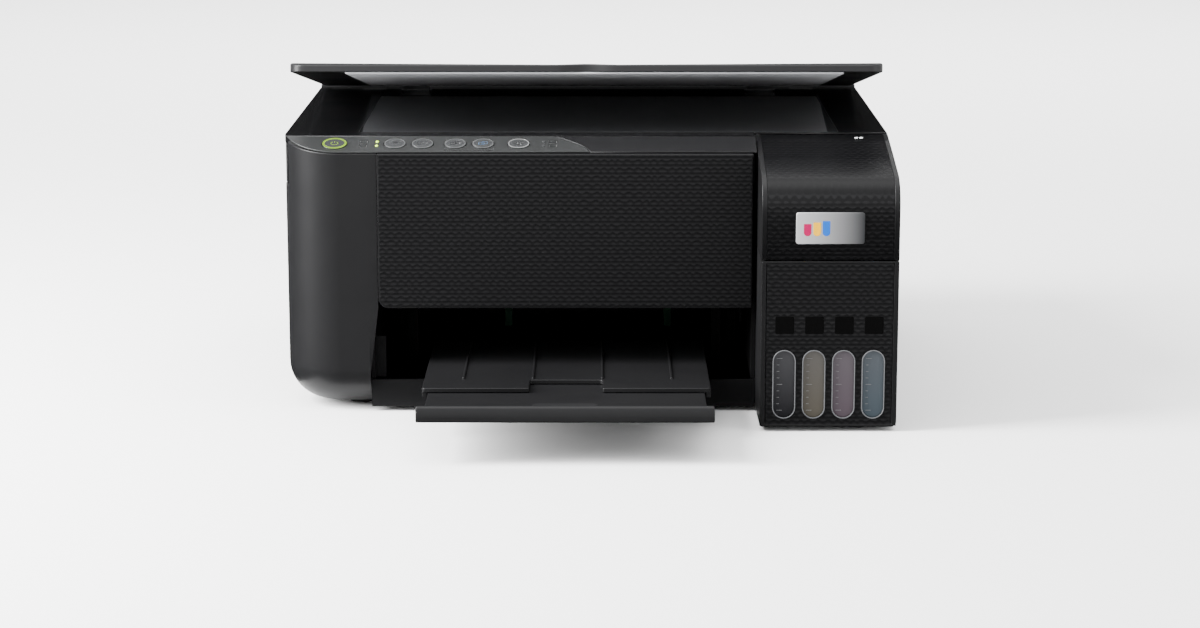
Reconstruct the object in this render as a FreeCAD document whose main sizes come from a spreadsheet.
import FreeCAD, Part
import os
import Sketcher
from FreeCAD import Vector

# Inkjet printer with refillable tanks. Millimetres, X to the right, Y towards the back, Z up.
# The middle of the footprint is the origin and Z = 0 is the table.

doc = FreeCAD.newDocument("inkjet_printer")
dims = doc.addObject("Spreadsheet::Sheet", "dims")
probe = doc.addObject("Spreadsheet::Sheet", "probe")

SIZES = {
    "half_width": 187.5,
    "casing_front": -83.5,
    "tank_front": -133.5,
    "rear_face": 213.5,
    "rear_joint": 187.5,
    "foot_height": 3,
    "seam_height": 139.5,
    "casing_top": 162.4,
    "bed_height": 170,
    "wall": 2.5,
    "corner_radius": 36,
    "belly_radius": 24,
    "tank_left": 105,
    "tank_split": 105,
    "window_first": 119.3,
    "window_pitch": 17.9,
    "window_width": 13.5,
    "window_low": 8.3,
    "window_high": 50.3,
    "tank_width": 16.4,
    "tank_height": 94,
    "cap_width": 15.2,
    "cover_left": -128,
    "cover_right": 102,
    "cover_low": 66.5,
    "panel_left": -187.5,
    "panel_split": -2,
    "button_big": 7.5,
    "button_small": 6.6,
    "button_gap": 0.3,
    "glass_left": -141.5,
    "glass_right": 156.4,
    "glass_front": -43.2,
    "glass_back": 168.8,
    "glass_thickness": 2.8,
    "lid_half_width": 184.5,
    "lid_angle": 9.2,
    "lid_hinge_depth": 178.5,
    "lid_hinge_height": 173.8,
    "lid_front": -51.5,
    "tray_left": -98,
    "tray_right": 74.6,
    "tray_low": 25,
    "tray_lip": -213.5,
    "rail_depth": 82,
    "rail_height": 100,
    "rail_radius": 4,
    "feed_depth": 84,
    "feed_height": 54,
    "feed_radius": 6,
    "eject_depth": 12,
    "eject_radius": 5,
    "running_gap": 0.05,
}
row = 1
for alias, size in SIZES.items():
    dims.set(f"A{row}", alias)
    dims.set(f"B{row}", str(size))
    dims.setAlias(f"B{row}", alias)
    row += 1
doc.recompute()

nodes = []


def num(size):
    """A size as a number; a text size is worked out by the spreadsheet."""
    if isinstance(size, str):
        probe.set("A1", "=" + size)
        probe.recompute()
        return float(probe.get("A1"))
    return float(size)


def bind(thing, name, size):
    if isinstance(size, str):
        thing.setExpression(name, size)
    else:
        setattr(thing, name, size)


def place(thing, at, axis=(1, 0, 0), angle=0):
    spot = "; ".join(f"{v}" for v in at)
    line = "; ".join(f"{v}" for v in axis)
    thing.setExpression("Placement", f"placement(vector({spot}); rotation(vector({line}); {angle}))")
    return thing


def publish(thing, label):
    thing.Label = label
    nodes.append(thing)
    return thing


def origin_plane(body, role):
    for feature in body.Origin.OriginFeatures:
        if feature.Role == role:
            return feature


def sketch(body, role, lift=0):
    drawing = body.newObject("Sketcher::SketchObject", body.Name + "_sketch")
    drawing.AttachmentSupport = (origin_plane(body, role), [""])
    drawing.MapMode = "FlatFace"
    if lift:
        drawing.AttachmentOffset = FreeCAD.Placement(Vector(0, 0, lift), FreeCAD.Rotation())
    return drawing


def fix(drawing, kind, spot, size):
    index = drawing.addConstraint(Sketcher.Constraint(kind, -1, 1, spot[0], spot[1], num(size)))
    if isinstance(size, str):
        drawing.setExpression(f"Constraints[{index}]", size)


def outline(drawing, corners):
    """A closed polygon whose every corner is dimensioned from the sketch origin."""
    first = drawing.GeometryCount
    count = len(corners)
    flat = [Vector(num(a), num(b), 0) for a, b in corners]
    for i in range(count):
        drawing.addGeometry(Part.LineSegment(flat[i], flat[(i + 1) % count]))
    for i in range(count):
        after = first + (i + 1) % count
        drawing.addConstraint(Sketcher.Constraint("Coincident", first + i, 2, after, 1))
    for i in range(count):
        fix(drawing, "DistanceX", (first + i, 1), corners[i][0])
        fix(drawing, "DistanceY", (first + i, 1), corners[i][1])


def ring(drawing, a, b, radius):
    index = drawing.addGeometry(Part.Circle(Vector(num(a), num(b), 0), Vector(0, 0, 1), num(radius)))
    fix(drawing, "DistanceX", (index, 3), a)
    fix(drawing, "DistanceY", (index, 3), b)
    limit = drawing.addConstraint(Sketcher.Constraint("Radius", index, num(radius)))
    if isinstance(radius, str):
        drawing.setExpression(f"Constraints[{limit}]", radius)


def prism(name, role, corners, length, at=(0, 0, 0), holes=()):
    """A body padded from a polygon, with round holes given as (a, b, radius)."""
    body = doc.addObject("PartDesign::Body", name)
    drawing = sketch(body, role)
    outline(drawing, corners)
    for a, b, radius in holes:
        ring(drawing, a, b, radius)
    pad = body.newObject("PartDesign::Pad", name + "_pad")
    pad.Profile = drawing
    bind(pad, "Length", length)
    place(body, at)
    doc.recompute()
    return body


def corners_of(low, high):
    return [(low[0], low[1]), (high[0], low[1]), (high[0], high[1]), (low[0], high[1])]


def rounded(body, wanted, radius):
    """Fillets the edges of the body's tip that the test picks out."""
    tip = body.Tip
    names = []
    for i, edge in enumerate(tip.Shape.Edges):
        if wanted(edge.BoundBox):
            names.append(f"Edge{i + 1}")
    fillet = body.newObject("PartDesign::Fillet", body.Name + "_fillet")
    fillet.Base = (tip, names)
    bind(fillet, "Radius", radius)
    doc.recompute()
    return body


def box(name, low, high):
    solid = doc.addObject("Part::Box", name)
    for side, a, b in zip(("Length", "Width", "Height"), low, high):
        if isinstance(a, str) or isinstance(b, str):
            solid.setExpression(side, f"({b}) - ({a})")
        else:
            setattr(solid, side, b - a)
    return place(solid, low)


TURNS = {"x": ((0, 1, 0), 90), "y": ((1, 0, 0), -90), "z": ((0, 0, 1), 0)}


def rod(name, along, start, radius, length):
    solid = doc.addObject("Part::Cylinder", name)
    bind(solid, "Radius", radius)
    bind(solid, "Height", length)
    axis, angle = TURNS[along]
    return place(solid, start, axis, angle)


def fuse(name, pieces):
    joined = doc.addObject("Part::MultiFuse", name)
    joined.Shapes = pieces
    joined.Refine = True
    return joined


def cut(name, base, tools):
    result = doc.addObject("Part::Cut", name)
    result.Base = base
    result.Tool = tools[0] if len(tools) == 1 else fuse(name + "_tools", tools)
    return result


def group(name, pieces):
    compound = doc.addObject("Part::Compound", name)
    compound.Links = pieces
    return compound


def rounded_block(name, low, high, corner, belly):
    """A block with its front left corner and its lower left and front edges rounded."""
    wide = f"({high[0]}) - ({low[0]})"
    deep = f"({high[1]}) - ({low[1]})"
    tall = f"({high[2]}) - ({low[2]})"
    body = prism(name, "XY_Plane", corners_of((0, 0), (wide, deep)), tall, low)
    rounded(body, lambda b: b.XMax < 0.1 and b.YMax < 0.1, corner)
    if belly:
        rounded(body, lambda b: b.ZMax < 0.1 and (b.XMin < 0.1 or b.YMin < 0.1)
                and b.YMin < num(deep) - 1 and b.XMin < num(wide) - 1, belly)
    return body


# Left housing: a thin shell with a rounded front corner and a rounded belly.
def left_block(name, inset, beyond):
    low = (f"inset_left + {inset}", f"dims.casing_front + {inset}", f"dims.foot_height + {inset}")
    low = tuple(text.replace("inset_left", "-dims.half_width") for text in low)
    high = (-128.5 + beyond, f"dims.rear_joint - 0.3 + {beyond}", f"dims.casing_top + 5 + {beyond}")
    return rounded_block(name, low, high, f"dims.corner_radius - {inset}", f"dims.belly_radius - {inset}")


left_outer = left_block("left_outer", 0, 0)
left_inner = left_block("left_inner", 2.5, 6)
left_step = box("left_step", (-190, -62.4, "dims.seam_height"), (-120, 195, 180))
left_slope = prism("left_slope", "YZ_Plane", [
    (-95, "dims.casing_top"), (-80.4, "dims.casing_top"), (-80.4, "dims.casing_top + 0.7"),
    (-60, "dims.casing_top + 5.25"), (-60, 190), (-95, 190)], 70, (-190, 0, 0))
left_mouth = box("left_mouth", (-134, -90, -2), (-120, -60, "dims.cover_low"))
publish(cut("left_shell", left_outer, [left_inner, left_step, left_slope, left_mouth]), "left_housing")

# Right housing: outer wall, tank compartment floor, inner wall and bulkhead.
right_wall = prism("right_wall", "YZ_Plane", [
    ("dims.tank_front + 2.8", "dims.foot_height"), ("dims.rear_joint - 0.3", "dims.foot_height"),
    ("dims.rear_joint - 0.3", "dims.seam_height"), (-45, "dims.seam_height"),
    (-45, "dims.tank_split"), ("dims.tank_front + 2.8", "dims.tank_split")],
    "dims.wall", ("dims.half_width - dims.wall", 0, 0))
tank_wall = box("tank_wall", ("dims.tank_left", "dims.tank_front + 2.8", "dims.foot_height"),
                ("dims.tank_left + dims.wall", -45, "dims.tank_split"))
tank_floor = box("tank_floor", ("dims.tank_left", "dims.tank_front + 2.8", "dims.foot_height"),
                 ("dims.half_width", -45, "dims.foot_height + dims.wall"))
bulkhead = box("bulkhead", ("dims.tank_left", -47.5, "dims.foot_height"),
               ("dims.half_width", -45, "dims.seam_height"))
publish(fuse("right_shell", [right_wall, tank_wall, tank_floor, bulkhead]), "right_housing")

# Base pan with a low front sill and stiffening ribs.
base_plate = prism("base_plate", "XY_Plane", [
    (-133.6, -80), ("dims.tank_left - 0.5", -80), ("dims.tank_left - 0.5", -44.5),
    ("dims.half_width - 3", -44.5), ("dims.half_width - 3", 187), (-128, 187), (-128, -60.5),
    (-133.6, -60.5)],
    3, (0, 0, "dims.foot_height"))
sill = box("sill", (-133.6, -80, 5), ("dims.tank_left - 0.5", -77.5, 20))
ribs = [box(f"rib_{i}", (-110 + 42 * i, -70, 5), (-108.5 + 42 * i, 180, 10)) for i in range(5)]
publish(fuse("base", [base_plate, sill] + ribs), "base_pan")

# Four feet.
feet = []
for i, (x, y) in enumerate([(-142, -48), (165, -115), (-142, 165), (150, 165)]):
    feet.append(rod(f"foot_{i}", "z", (x, y, 0), 8, "dims.foot_height"))
publish(group("feet", feet), "rubber_feet")

# Tank compartment front with four round-ended windows.
front_plate = prism("front_plate", "XZ_Plane", corners_of(
    ("dims.tank_left", "dims.foot_height"), ("dims.half_width", "dims.tank_split - 0.3")),
    "dims.wall", (0, "dims.tank_front + dims.wall", 0))
rounded(front_plate, lambda b: b.XMin > 187 and b.YMax < -2.4, 2)
openings = []
lenses = [box("lens_plate", (109, "dims.tank_front + 2.8", 6), (184, "dims.tank_front + 3.8", 53))]
for i in range(4):
    centre = f"dims.window_first + {i} * dims.window_pitch"
    for kind, shrink, y0, y1, store in (
            ("opening", 0, "dims.tank_front - 2", "dims.tank_front + 3.5", openings),
            ("lens", 0.2, "dims.tank_front + 0.4", "dims.tank_front + 3", lenses)):
        half = f"dims.window_width / 2 - {shrink}"
        reach = f"({y1}) - ({y0})"
        low_end = "dims.window_low + dims.window_width / 2"
        high_end = "dims.window_high - dims.window_width / 2"
        store.append(box(f"{kind}_mid_{i}", (f"{centre} - ({half})", y0, low_end),
                         (f"{centre} + ({half})", y1, high_end)))
        store.append(rod(f"{kind}_low_{i}", "y", (centre, y0, low_end), half, reach))
        store.append(rod(f"{kind}_high_{i}", "y", (centre, y0, high_end), half, reach))
publish(cut("tank_front", front_plate, openings), "tank_front_panel")
publish(fuse("window_lens", lenses), "tank_window_lens")

# Ink tanks with filler necks, and the sprung lever caps on a common rod.
CAP_HINGE = (-79, 112)
for i, ink in enumerate(("black", "yellow", "magenta", "cyan")):
    centre = f"dims.window_first + {i} * dims.window_pitch"
    left = f"{centre} - dims.tank_width / 2"
    right = f"{centre} + dims.tank_width / 2"
    outer = box(f"{ink}_outer", (left, -129.2, 6), (right, -66, "dims.tank_height + 6"))
    neck = rod(f"{ink}_neck", "z", (centre, -106, "dims.tank_height + 5"), 6.2, 6)
    inside = box(f"{ink}_inside", (f"{left} + 1.4", -127.8, 7.4),
                 (f"{right} - 1.4", -67.4, "dims.tank_height + 4.6"))
    bore = rod(f"{ink}_bore", "z", (centre, -106, "dims.tank_height"), 4.6, 20)
    publish(cut(f"{ink}_tank", fuse(f"{ink}_body", [outer, neck]), [inside, bore]), f"ink_tank_{ink}")
    lever = prism(f"{ink}_lever", "YZ_Plane", [
        (-117, 106), (-113, 105.4), (-84, 105.4), (-79, 109.5), (-76.5, 111), (-76.5, 114.5),
        (-84, 115), (-110, 111.5), (-117, 109.5)],
        "dims.cap_width", (f"{centre} - dims.cap_width / 2", 0, 0))
    plug = rod(f"{ink}_plug", "z", (centre, -106, 103.6), 3.9, 3)
    eye = rod(f"{ink}_eye", "x", (f"{centre} - 10", CAP_HINGE[0], CAP_HINGE[1]), "1.2 + dims.running_gap", 20)
    publish(cut(f"{ink}_cap", fuse(f"{ink}_cap_body", [lever, plug]), [eye]), f"cap_{ink}")
bracket = [box("bracket_bar", (107.7, -74.6, 102), (184.8, -66, 112))]
for i in range(5):
    x = f"dims.window_first + {i - 0.5} * dims.window_pitch"
    bracket.append(box(f"bracket_ear_{i}", (f"{x} - 0.9", -81, 102), (f"{x} + 0.9", -74, 114.5)))
bracket.append(rod("bracket_rod", "x", (109.6, CAP_HINGE[0], CAP_HINGE[1]), 1.2, 73.2))
bracket_floor = box("bracket_floor", (108, -73, 100.2), (184.5, -67, 103))
publish(fuse("bracket", bracket + [bracket_floor]), "cap_hinge_bracket")

# Tank cover: a shell that closes the compartment from above and tips forward.
cover_outer = prism("cover_outer", "YZ_Plane", [
    ("dims.tank_front", "dims.tank_split + 0.6"), (-47.8, "dims.tank_split + 0.6"),
    (-47.8, 169.5), (-94, 160.3), (-112, 156.2), ("dims.tank_front", 154.5)],
    "dims.half_width - dims.tank_left", ("dims.tank_left", 0, 0))
rounded(cover_outer, lambda b: b.YMax < -133 and b.ZMax < 106, 1.2)
rounded(cover_outer, lambda b: b.YMax < -133 and b.ZMin > 154 and b.XMax > 50, 18)
cover_inner = prism("cover_inner", "YZ_Plane", [
    ("dims.tank_front + 2.4", 90), (-40, 90), (-40, 168.6), (-94, 157.8), (-112, 153.8),
    ("dims.tank_front + 2.4", 152)],
    "dims.half_width - dims.tank_left - 4.8", ("dims.tank_left + 2.4", 0, 0))
rounded(cover_inner, lambda b: b.YMax < -130.5 and b.ZMin > 151 and b.XMax > 50, 15.6)
publish(cut("tank_cover", cover_outer, [cover_inner]), "ink_tank_cover")
badge = prism("badge_plate", "XZ_Plane", corners_of((125.3, 115.4), (166.3, 134.5)), 0.8,
              (0, "dims.tank_front", 0))
rounded(badge, lambda b: b.XMax - b.XMin < 0.1 and b.ZMax - b.ZMin < 0.1, 1.5)
publish(badge, "cover_badge")

# Front cover: a thin tray-shaped panel over the print mechanism.
cover_body = prism("cover_body", "XZ_Plane", corners_of(
    ("dims.cover_left", "dims.cover_low"), ("dims.cover_right", "dims.casing_top")), 7,
    (0, "dims.casing_front + 4", 0))
rounded(cover_body, lambda b: b.XMax < -127 and b.ZMax < 67, 6)
rounded(cover_body, lambda b: b.YMax < -6.9 and b.YMin < -6.9, 0.8)
cover_hollow = box("cover_hollow",
                   ("dims.cover_left + 2.5", "dims.casing_front - 0.5", "dims.cover_low + 2.5"),
                   ("dims.cover_right - 2.5", -70, "dims.casing_top - 2.5"))
publish(cut("cover_panel", cover_body, [cover_hollow]), "front_cover")

# Slot frame: black inner surround of the paper outlet.
slot_top = box("slot_top", (-133.8, -77, 68.8), ("dims.tank_left - 0.3", -6, 71.3))
slot_left = box("slot_left", (-133.8, -77, 20.3), (-131.3, -6, 71.3))
slot_right = box("slot_right", ("dims.tank_left - 2.8", -77, 20.3), ("dims.tank_left - 0.3", -6, 71.3))
slot_post = box("slot_post", (-131.5, -72, 20.3), (-125, -66, 46))
publish(fuse("slot_surround", [slot_top, slot_left, slot_right, slot_post]), "slot_frame")

# Sloped control panel and the plain trim that continues it.
PANEL = [("dims.casing_front", "dims.casing_top + 0.2"), ("dims.casing_front", 163.4),
         (-61, "dims.bed_height"), (-61, 150), (-62.2, 150), (-62.2, 167.4),
         (-80.6, "dims.casing_top + 0.9"), (-80.6, "dims.casing_top + 0.2")]
panel_bar = prism("panel_bar", "YZ_Plane", PANEL, "dims.panel_split - dims.panel_left",
                  ("dims.panel_left", 0, 0))
panel_limit = rounded_block("panel_limit", ("-dims.half_width", "dims.casing_front", 140),
                            (10, 0, 180), "dims.corner_radius", 0)
panel_trimmed = doc.addObject("Part::Common", "panel_trimmed")
panel_trimmed.Base = panel_bar
panel_trimmed.Tool = panel_limit
BUTTONS = [("power_button", -154.7, "dims.button_big"), ("network_button", -117.6, "dims.button_small"),
           ("status_button", -100.7, "dims.button_small"), ("grey_copy_button", -80.6, "dims.button_small"),
           ("colour_copy_button", -63.5, "dims.button_small"), ("stop_button", -41.6, "dims.button_small")]
TILT = "atan(6.6 / 22.5)"
PANEL_MIDDLE = (-72.25, 166.7)
panel_holes = []
for label, x, radius in BUTTONS:
    hole = doc.addObject("Part::Cylinder", label + "_hole")
    bind(hole, "Radius", f"{radius} + dims.button_gap")
    hole.Height = 20
    shift = "10 * sin(" + TILT + ")"
    drop = "10 * cos(" + TILT + ")"
    place(hole, (x, f"{PANEL_MIDDLE[0]} + {shift}", f"{PANEL_MIDDLE[1]} - {drop}"), (1, 0, 0), TILT)
    panel_holes.append(hole)
    stem = doc.addObject("Part::Cylinder", label + "_key")
    bind(stem, "Radius", radius)
    stem.Height = 3.4
    flange = doc.addObject("Part::Cylinder", label + "_flange")
    bind(flange, "Radius", f"{radius} + 0.9")
    flange.Height = 0.8
    for piece, sunk in ((stem, 2.9), (flange, 3.7)):
        place(piece, (x, f"{PANEL_MIDDLE[0]} + {sunk} * sin({TILT})",
                      f"{PANEL_MIDDLE[1]} - {sunk} * cos({TILT})"), (1, 0, 0), TILT)
    publish(fuse(label + "_solid", [stem, flange]), label)
LAMPS = [(-128.6, -69.4), (-128.6, -75.1), (-26.1, -69.4), (-26.1, -75.1)]
lamps = []
for i, (x, y) in enumerate(LAMPS):
    height = PANEL_MIDDLE[1] + (y - PANEL_MIDDLE[0]) * 6.6 / 22.5
    for kind, radius, store in (("lamp", 0.9, lamps), ("lamp_hole", 1.0, panel_holes)):
        piece = doc.addObject("Part::Cylinder", f"{kind}_{i}")
        piece.Radius = radius
        piece.Height = 5 if kind == "lamp_hole" else 2.3
        place(piece, (x, f"{y} + 2.2 * sin({TILT})", f"{height} - 2.2 * cos({TILT})"), (1, 0, 0), TILT)
        store.append(piece)
publish(cut("panel_drilled", panel_trimmed, panel_holes), "control_panel")
publish(group("panel_lamps", lamps), "indicator_lamps")
publish(prism("top_trim", "YZ_Plane", PANEL, "dims.tank_left - dims.panel_split - 0.8",
              ("dims.panel_split + 0.4", 0, 0)), "front_top_trim")

# Scanner unit: lower housing, top frame, glass, rail, carriage and belt.
SCANNER_PLAN = [(-185.3, -58.6), (104.3, -58.6), (104.3, -45.2), ("dims.half_width", -45.2),
                ("dims.half_width", 187), ("-dims.half_width", 187), ("-dims.half_width", -47)]
SCANNER_INSIDE = [(-182.4, -56.1), (101.8, -56.1), (101.8, -42.9), ("dims.half_width - 2.5", -42.9),
                  ("dims.half_width - 2.5", 184.5), ("2.5 - dims.half_width", 184.5),
                  ("2.5 - dims.half_width", -46)]
scan_box = prism("scan_box", "XY_Plane", SCANNER_PLAN, 25.5, (0, 0, "dims.seam_height + 0.5"))
hollow_drawing = sketch(scan_box, "XY_Plane", 2.5)
outline(hollow_drawing, SCANNER_INSIDE)
hollow = scan_box.newObject("PartDesign::Pocket", "scan_hollow")
hollow.Profile = hollow_drawing
hollow.Reversed = True
hollow.Length = 40
doc.recompute()
publish(scan_box, "scanner_lower_housing")
frame_plate = prism("frame_plate", "XY_Plane", SCANNER_PLAN, "dims.bed_height - dims.seam_height - 26",
                    (0, 0, "dims.seam_height + 26"))
frame_ledge = box("frame_ledge", ("dims.glass_left + 4", "dims.glass_front + 4", 160),
                  ("dims.glass_right - 4", "dims.glass_back - 4", 175))
frame_seat = box("frame_seat", ("dims.glass_left - 0.2", "dims.glass_front - 0.2",
                                "dims.bed_height - dims.glass_thickness"),
                 ("dims.glass_right + 0.2", "dims.glass_back + 0.2", 175))
LIFT_AXIS = (186.8, "dims.bed_height")
lift_sockets = []
for i, x in enumerate((-150, 150)):
    lift_sockets.append(rod(f"lift_socket_{i}", "x", (x - 8.3, LIFT_AXIS[0], LIFT_AXIS[1]),
                            "2 + dims.running_gap", 16.6))
publish(cut("scanner_frame", frame_plate, [frame_ledge, frame_seat] + lift_sockets), "scanner_top_frame")
publish(box("glass_plate", ("dims.glass_left", "dims.glass_front", "dims.bed_height - dims.glass_thickness"),
            ("dims.glass_right", "dims.glass_back", "dims.bed_height")), "platen_glass")
publish(rod("scan_guide", "x", (-184.9, 56, 148), 3, 369.8), "scanner_rail")
bar = box("scan_bar", (-140, -42, 154), (-121, 156, 164.8))
shoe = box("scan_shoe", (-140, 48, 143.2), (-121, 64, 155))
shoe_bore = rod("shoe_bore", "x", (-150, 56, 148), "3 + dims.running_gap", 40)
publish(cut("scan_carriage_body", fuse("scan_block", [bar, shoe]), [shoe_bore]), "scan_carriage")

# Document cover on two rear hinges, built closed and then opened about its hinge line.
def opened(solid, label):
    hinge = "0; dims.lid_hinge_depth; dims.lid_hinge_height"
    turn = "rotation(vector(-1; 0; 0); dims.lid_angle)"
    solid.setExpression("Placement", f"placement(vector({hinge}); {turn})")
    return publish(solid, label)


lid_plate = prism("lid_plate", "YZ_Plane", [
    ("dims.lid_front - dims.lid_hinge_depth", -2.2), (2.2, -2.2), (3.1, -1.3), (3.4, 0), (3.4, 2),
    (1.5, 5.2), (-205, 5.2),
    (-222, 4), ("dims.lid_front - dims.lid_hinge_depth", 1.8)],
    "2 * dims.lid_half_width", ("-dims.lid_half_width", 0, 0))
rounded(lid_plate, lambda b: b.XMax - b.XMin < 0.1 and b.YMax < -229, 10)
lid_notches = []
for side, x in (("left", -120), ("right", 120)):
    lid_notches.append(box(f"{side}_notch", (x - 10, -12, -10), (x + 10, 20, 20)))
    lid_notches.append(rod(f"{side}_pin_bore", "x", (x - 18, 0, 0), "2 + dims.running_gap", 36))
lid_notches.append(rod("finger_notch", "z", (0, -244, -10), 18, 30))
opened(cut("lid", lid_plate, lid_notches), "document_cover")
mat_plate = prism("mat_plate", "XY_Plane", corners_of((-150, -228), (162, -18)), 1, (0, 0, 0))
mat_plate.Tip.Reversed = True
mat_lowered = doc.addObject("Part::Compound", "mat_lowered")
mat_lowered.Links = [place(mat_plate, (0, 0, -2.2))]
opened(mat_lowered, "document_mat")
hinges = []
for side, x in (("left", -120), ("right", 120)):
    hinges.append(fuse(f"{side}_hinge", [
        box(f"{side}_hinge_block", (x - 9, 174.5, "dims.bed_height"), (x + 9, 182.5, 175)),
        rod(f"{side}_knuckle", "x", (x - 9, "dims.lid_hinge_depth", "dims.lid_hinge_height"), 3.6, 18),
        rod(f"{side}_pin", "x", (x - 16, "dims.lid_hinge_depth", "dims.lid_hinge_height"), 2, 32)]))
publish(group("hinge_pair", hinges), "cover_hinges")

# Rear cover with the paper feed slot, mains inlet and data port.
rear_outer = prism("rear_outer", "XY_Plane", corners_of(
    ("-dims.half_width", "dims.rear_joint"), ("dims.half_width", "dims.rear_face")),
    "dims.bed_height + 1 - dims.foot_height", (0, 0, "dims.foot_height"))
rounded(rear_outer, lambda b: b.XMax - b.XMin < 0.1 and b.YMin > 213, 10)
rear_hollow = box("rear_hollow", ("4.5 - dims.half_width", 180, "dims.foot_height + 2.5"),
                  ("dims.half_width - 4.5", "dims.rear_face - 3.5", "dims.bed_height - 1.5"))
feed_slot = box("feed_slot", (-112, 191, 150), (112, 209, 180))
inlet_hole = box("inlet_hole", (130, 205, 19), (158, 216, 39))
port_hole = box("port_hole", (82, 205, 22), (96, 216, 34))
guard_bore = rod("guard_bore", "x", (-114, 192.6, 169.9), "0.8 + dims.running_gap", 228)
rear_skin = cut("rear_skin", rear_outer, [rear_hollow, feed_slot, inlet_hole, port_hole, guard_bore])
guide_rod = rod("guide_rod", "x", ("4 - dims.half_width", 196.5, 114), 2, "2 * dims.half_width - 8")
lift_barrels = []
for i, x in enumerate((-150, 150)):
    lift_barrels.append(rod(f"lift_barrel_{i}", "x", (x - 8, LIFT_AXIS[0], LIFT_AXIS[1]), 2, 16))
    lift_barrels.append(box(f"lift_arm_{i}", (x - 8, 187.3, "dims.bed_height - 1"),
                            (x + 8, 190, "dims.bed_height + 1")))
rear_ridge = box("rear_ridge", (-180, 188, "dims.bed_height"), (180, 190.6, "dims.bed_height + 5.5"))
publish(fuse("rear_shell", [rear_skin, guide_rod, rear_ridge] + lift_barrels), "rear_cover")
inlet_block = box("inlet_block", (130.1, 190, 19.1), (157.9, 212.6, 38.9))
inlet_well = box("inlet_well", (134, 198, 23.5), (154, 220, 34.5))
inlet_pins = [rod(f"inlet_pin_{i}", "y", (139.7 + 8.6 * i, 196, 29), 1.2, 14) for i in range(2)]
publish(fuse("inlet", [cut("inlet_shell", inlet_block, [inlet_well])] + inlet_pins), "mains_inlet")
port_block = box("port_block", (82.1, 196, 22.1), (95.9, 212.6, 33.9))
port_well = box("port_well", (83.1, 202, 23.1), (94.9, 220, 32.9))
port_tongue = box("port_tongue", (86, 200, 26), (92, 210, 30))
publish(fuse("port", [cut("port_shell", port_block, [port_well]), port_tongue]), "data_port")

# Rear paper handling.
support_plate = box("support_plate", (-104, 202.5, 62), (104, 205, 170.4))
support_grip = box("support_grip", (-18, 198, 160), (18, 206, 168))
publish(fuse("support", [support_plate, support_grip]), "paper_support")
guard_flap = box("guard_flap", (-110, 191.6, 169), (110, 197.4, 171))
guard_pins = [rod(f"guard_pin_{i}", "x", (-113.8 + 223.6 * i, 192.6, 169.9), 0.8, 4) for i in range(2)]
publish(fuse("guard", [guard_flap] + guard_pins), "feeder_guard")
guide_blade = box("guide_blade", (60, 198.6, 120), (62.5, 202, 158))
guide_foot = box("guide_foot", (52, 192.6, 109), (70, 202, 122))
guide_bore = rod("guide_bore", "x", (40, 196.5, 114), "2 + dims.running_gap", 50)
publish(cut("guide", fuse("guide_body", [guide_blade, guide_foot]), [guide_bore]), "edge_guide")

# Output tray in two stages with a stopper that flips up.
tray_floor = prism("tray_floor", "XY_Plane", [
    ("dims.tray_left", -150), (-34, -150), (-34, -127.5), (10, -127.5), (10, -150),
    ("dims.tray_right", -150), ("dims.tray_right", -15), ("dims.tray_left", -15)],
    2.6, (0, 0, "dims.tray_low + 3.2"))
tray_rails = []
for i, x in enumerate(("dims.tray_left", "dims.tray_right - 3")):
    tray_rails.append(box(f"tray_rail_{i}", (x, -149, "dims.tray_low"),
                          (f"{x} + 3", -15, "dims.tray_low + 4")))
tray_ribs = [box(f"tray_rib_{i}", (-75 + 42 * i, -126, 30), (-73.5 + 42 * i, -18, 31.6)) for i in range(4)]
publish(fuse("tray", [tray_floor] + tray_rails + tray_ribs), "output_tray")
slide_plate = box("slide_plate", ("dims.tray_left + 3.6", "dims.tray_lip + 4", "dims.tray_low + 0.2"),
                  ("dims.tray_right - 3.6", -90, "dims.tray_low + 2.8"))
slide_lip = prism("slide_lip", "YZ_Plane", [
    ("dims.tray_lip", "dims.tray_low"), ("dims.tray_lip + 6", "dims.tray_low"),
    ("dims.tray_lip + 6", "dims.tray_low + 8"), ("dims.tray_lip + 4.5", "dims.tray_low + 9.5"),
    ("dims.tray_lip + 1.5", "dims.tray_low + 9.5"), ("dims.tray_lip", "dims.tray_low + 8")],
    "dims.tray_right - dims.tray_left", ("dims.tray_left", 0, 0))
STOPPER_AXIS = (-206, 29.3)
stopper_ears = []
for i, x in enumerate((-33.4, 7.4)):
    stopper_ears.append(box(f"stopper_ear_{i}", (x, -207.2, 27.5), (x + 2, -204.8, 30.3)))
stopper_pin = rod("stopper_pin", "x", (-33, STOPPER_AXIS[0], STOPPER_AXIS[1]), 0.5, 42)
publish(fuse("extension", [slide_plate, slide_lip, stopper_pin] + stopper_ears), "tray_extension")
stopper_flap = box("stopper_flap", (-31, STOPPER_AXIS[0], 28.3), (7, -186, 30.3))
stopper_barrel = rod("stopper_barrel", "x", (-31, STOPPER_AXIS[0], STOPPER_AXIS[1]), 1, 38)
stopper_bore = rod("stopper_bore", "x", (-34, STOPPER_AXIS[0], STOPPER_AXIS[1]), "0.5 + dims.running_gap", 44)
publish(cut("stopper", fuse("stopper_body", [stopper_flap, stopper_barrel]), [stopper_bore]), "tray_stopper")

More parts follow.
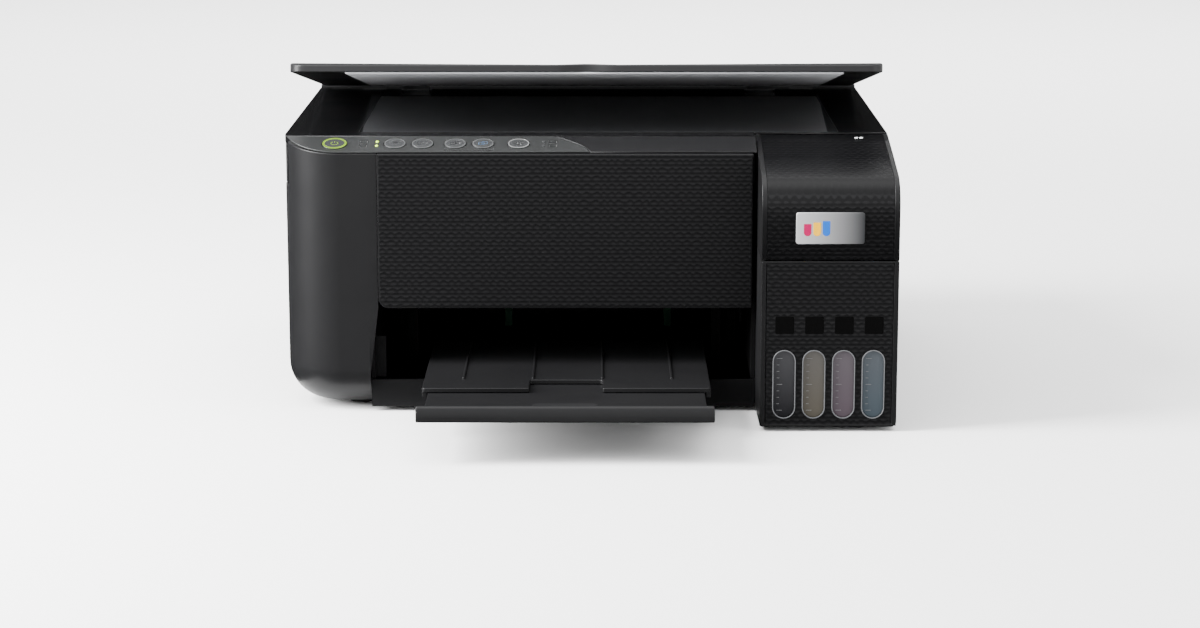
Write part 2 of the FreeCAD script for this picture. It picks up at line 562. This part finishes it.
# Print mechanism inside the casing.
frame_back = box("frame_back", (-170, 100, 40), (100, 101.5, 130))
frame_sides = [box(f"frame_side_{i}", (x, 0, 40), (x + 1.5, 101.5, 125)) for i, x in enumerate((-170, 98.5))]
frame_legs = [box(f"frame_leg_{i}", (x, 80, 6), (x + 6, 101.5, 41)) for i, x in enumerate((-126, 94))]
frame_tools = [rod("feed_passage", "x", (-175, "dims.feed_depth", "dims.feed_height"),
                   "dims.feed_radius + 0.1", 290),
               rod("eject_passage", "x", (-175, "dims.eject_depth", "dims.feed_height - 1"),
                   "dims.eject_radius + 0.1", 290),
               rod("pinion_passage", "x", (-175, "dims.feed_depth", "dims.feed_height + 24.8"), 1.58, 12)]
chassis_sheet = fuse("chassis_sheet", [frame_back] + frame_sides + frame_legs)
publish(cut("chassis", chassis_sheet, frame_tools), "main_frame")
publish(rod("guide_shaft", "x", (-168.4, "dims.rail_depth", "dims.rail_height"), "dims.rail_radius", 266.8),
        "carriage_rail")
carriage_body = box("carriage_body", (42, 28, 74), (92, 94, 122))
carriage_well = box("carriage_well", (45, 31, 84), (89, 74, 140))
carriage_bore = rod("carriage_bore", "x", (0, "dims.rail_depth", "dims.rail_height"),
                    "dims.rail_radius + dims.running_gap", 120)
publish(cut("carriage_shell", carriage_body, [carriage_well, carriage_bore]), "print_carriage")
publish(box("head_block", (50, 34, 66), (84, 64, 74)), "print_head")
platen_plate = box("platen_plate", (-120, 22, 50), (90, 76, 55))
platen_ribs = [box(f"platen_rib_{i}", (-112 + 24 * i, 24, 54), (-110.5 + 24 * i, 74, 59)) for i in range(9)]
platen_feet = [box(f"platen_foot_{i}", (x, 40, 6), (x + 6, 50, 51)) for i, x in enumerate((-118, 82))]
publish(fuse("platen_body", [platen_plate] + platen_ribs + platen_feet), "platen")


def gear(name, teeth, module, width, at, bore):
    """A spur gear along X: a round blank with straight-sided teeth in a polar pattern."""
    body = doc.addObject("PartDesign::Body", name)
    blank = sketch(body, "YZ_Plane")
    root = module * (teeth - 2.3) / 2
    tip = module * (teeth + 1.4) / 2
    ring(blank, 0, 0, root)
    ring(blank, 0, 0, bore)
    wheel = body.newObject("PartDesign::Pad", name + "_wheel")
    wheel.Profile = blank
    wheel.Length = width
    tooth = sketch(body, "YZ_Plane")
    outline(tooth, [(root - 0.4, -0.8 * module), (tip, -0.3 * module), (tip, 0.3 * module),
                    (root - 0.4, 0.8 * module)])
    lug = body.newObject("PartDesign::Pad", name + "_tooth")
    lug.Profile = tooth
    lug.Length = width
    doc.recompute()
    around = body.newObject("PartDesign::PolarPattern", name + "_teeth")
    around.Originals = [lug]
    around.Axis = (origin_plane(body, "X_Axis"), [""])
    around.Angle = 360
    around.Occurrences = teeth
    body.Tip = around
    place(body, at)
    doc.recompute()
    return body


feed_at = ("dims.feed_depth", "dims.feed_height")
feed_shaft = rod("feed_shaft", "x", (-182, feed_at[0], feed_at[1]), "dims.feed_radius", 282.5)
feed_gear = gear("feed_gear", 50, 0.8, 5, (-178, feed_at[0], feed_at[1]), 5)
publish(fuse("feed_assembly", [feed_shaft, feed_gear]), "feed_roller")
eject_shaft = rod("eject_shaft", "x", (-176, "dims.eject_depth", "dims.feed_height - 1"), 3, 272)
tyres = [rod(f"tyre_{i}", "x", (-110 + 38 * i, "dims.eject_depth", "dims.feed_height - 1"),
             "dims.eject_radius", 14) for i in range(6)]
eject_collars = [rod(f"collar_{i}", "x", (x, "dims.eject_depth", "dims.feed_height - 1"),
                     "dims.eject_radius", 6) for i, x in enumerate((-172, 94))]
publish(fuse("eject_assembly", [eject_shaft] + tyres + eject_collars), "eject_roller")
pinion_at = ("dims.feed_depth", "dims.feed_height + 24.8")
pinion_gear = gear("pinion_gear", 12, 0.8, 5, (-178, pinion_at[0], pinion_at[1]), 1.2)
pinion_shaft = rod("pinion_shaft", "x", (-178, pinion_at[0], pinion_at[1]), 1.5, 9.7)
publish(fuse("pinion", [pinion_gear, pinion_shaft]), "feed_pinion")
publish(rod("feed_can", "x", (-168, pinion_at[0], pinion_at[1]), 12, 28), "feed_motor")
for label, x in (("motor_pulley", 88), ("idler_pulley", -158)):
    rims = [rod(f"{label}_rim_{i}", "y", (x, 95.1 + 3.6 * i, 112), 6.2, 0.7) for i in range(2)]
    publish(fuse(label + "_solid", [rod(label + "_drum", "y", (x, 95.1, 112), 5.5, 4.3)] + rims), label)
belt_parts = []
for kind, radius, y, width in (("belt", 7.2, 95.9, 2.7), ("gap", 6.5, 95, 5)):
    ends = [rod(f"{kind}_end_{i}", "y", (x, y, 112), radius, width) for i, x in enumerate((-158, 88))]
    middle = box(f"{kind}_middle", (-158, y, 112 - radius), (88, y + width, 112 + radius))
    belt_parts.append(fuse(kind + "_loop", ends + [middle]))
publish(cut("carriage_belt", belt_parts[0], [belt_parts[1]]), "timing_belt")
publish(rod("carriage_can", "y", (88, 101.6, 112), 15, 24), "carriage_motor")
board = box("board", (-60, 150, 20), (60, 151.6, 96))
chips = [box(f"chip_{i}", (-45 + 34 * i, 146, 40), (-25 + 34 * i, 150.5, 60)) for i in range(3)]
board_feet = [box(f"board_foot_{i}", (x, 149, 6), (x + 5, 153, 22)) for i, x in enumerate((-58, 53))]
publish(fuse("board_assembly", [board] + chips + board_feet), "main_board")
publish(box("supply_case", (125, 90, 6), (175, 180, 60)), "power_supply")

doc.recompute()
for thing in doc.Objects:
    if "Invalid" in thing.State or "Error" in thing.State:
        raise RuntimeError(thing.Name + " failed")
for node in nodes:
    if node.Shape.isNull() or not node.Shape.isValid():
        raise RuntimeError(node.Label + " has no valid shape")
print(len(nodes), "sub-parts")
os.makedirs("parts", exist_ok=True)
for node in nodes:
    node.Shape.exportStep("parts/" + node.Label + ".step")
